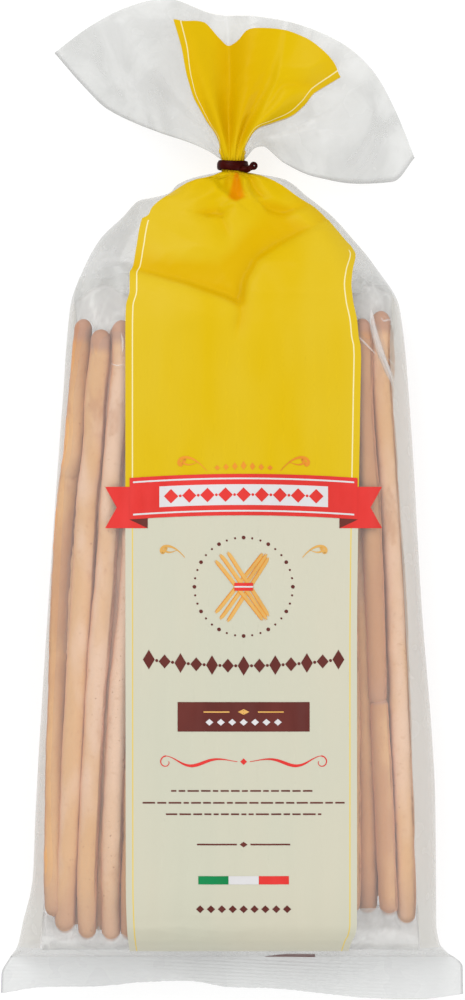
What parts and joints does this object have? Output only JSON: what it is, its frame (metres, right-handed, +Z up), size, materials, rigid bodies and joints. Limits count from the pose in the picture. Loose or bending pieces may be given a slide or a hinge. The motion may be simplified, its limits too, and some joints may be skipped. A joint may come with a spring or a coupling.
{
  "type": "bag of breadsticks",
  "caption": "Clear film bag of long thin breadsticks, printed down the front, gathered to a neck under a twist tie with a fanned ruff above it, and crimped flat at the bottom.",
  "frame": {"origin": "under the middle of the bag's outline, on the surface that its back lies on", "axes": "+X across the bag, +Y along it from the crimped bottom seal to the ruff, +Z up out of the printed front"},
  "size_m": [0.181, 0.39, 0.0448],
  "materials": {
    "film": "gloss",
    "print": "gloss",
    "bread": "matte",
    "tie": "satin"
  },
  "bodies": {
    "root": {"bag": "film", "tie": "tie"}
  },
  "joints": []
}
